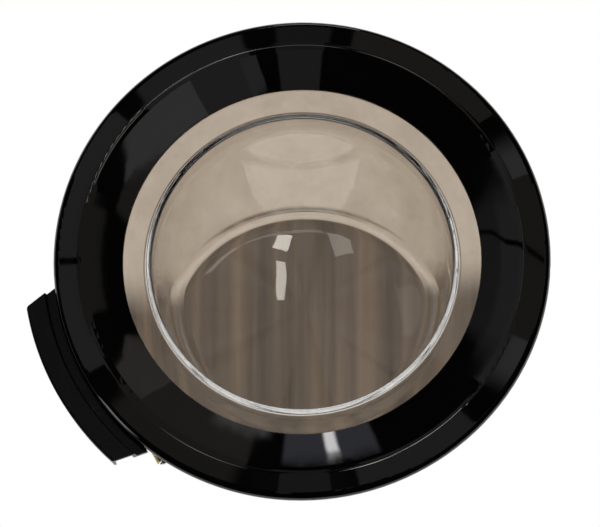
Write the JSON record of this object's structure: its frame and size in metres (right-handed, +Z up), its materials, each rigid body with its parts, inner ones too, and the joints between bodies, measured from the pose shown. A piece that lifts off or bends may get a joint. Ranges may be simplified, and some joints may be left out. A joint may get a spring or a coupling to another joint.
{
  "type": "washing machine door",
  "caption": "Round washing machine door: gloss ring, deep glass bowl with a slanted top, pull handle with latch hook, and a hidden side hinge.",
  "frame": {"origin": "on the door's axis, at the middle of the glass's round sealing neck", "axes": "+Z up, the front of the door looks along -Y, the bowl points to +Y into the machine"},
  "size_m": [0.5051, 0.176, 0.48],
  "materials": {
    "black_gloss": "high gloss moulded plastic",
    "door_glass": "pressed glass, lightly smoked",
    "cushion_rubber": "soft black rubber",
    "frame_grey": "matt moulded plastic",
    "screw_zinc": "zinc plated",
    "buffer_rubber": "soft rubber",
    "bracket_zinc": "zinc plated sheet steel",
    "pin_steel": "bright steel",
    "clip_steel": "blackened spring steel",
    "arm_zinc": "die-cast zinc",
    "bush_white": "natural acetal",
    "handle_black": "black moulded plastic, worn at the edges",
    "spring_yellow": "yellow passivated spring steel",
    "hook_zinc": "die-cast zinc"
  },
  "bodies": {
    "wall_hinge": {"hinge_bracket": "bracket_zinc", "hinge_pin": "pin_steel", "hinge_pin_clip": "clip_steel"},
    "door": {"front_ring": "black_gloss", "glass_bowl": "door_glass", "glass_cushion": "cushion_rubber", "back_frame": "frame_grey", "frame_screws": "screw_zinc", "door_buffers": "buffer_rubber", "hinge_arm": "arm_zinc", "upper_hinge_bush": "bush_white", "lower_hinge_bush": "bush_white", "arm_screws": "screw_zinc", "handle_pin": "pin_steel", "handle_pin_clip": "clip_steel", "handle_spring": "spring_yellow", "hook_pin": "pin_steel", "hook_spring": "spring_yellow", "latch_bracket": "bracket_zinc", "latch_screws": "screw_zinc"},
    "handle": {"door_handle": "handle_black"},
    "hook": {"latch_hook": "hook_zinc"}
  },
  "joints": [
    {"name": "door_swing", "type": "hinge", "parent": "wall_hinge", "child": "door", "pos_m": [0.222, -0.031, 0], "axis": [0, 0, 1], "range_deg": [0, 135]},
    {"name": "handle_pull", "type": "hinge", "parent": "door", "child": "handle", "pos_m": [-0.18488, -0.0245, -0.10375], "axis": [-0.4894, 0, 0.8721], "range_deg": [0, 15], "stiffness_Nm_per_rad": 0.8, "springref_deg": -20.05, "deforming": ["handle_spring"]},
    {"name": "hook_turn", "type": "hinge", "parent": "door", "child": "hook", "pos_m": [-0.17267, -0.0245, -0.0969], "axis": [0.4894, 0, -0.8721], "range_deg": [0, 15], "stiffness_Nm_per_rad": 0.2, "springref_deg": -20.05, "deforming": ["hook_spring"]}
  ],
  "couplings": [
    {"joint": "hook_turn", "follows": "handle_pull", "ratio": 1}
  ]
}
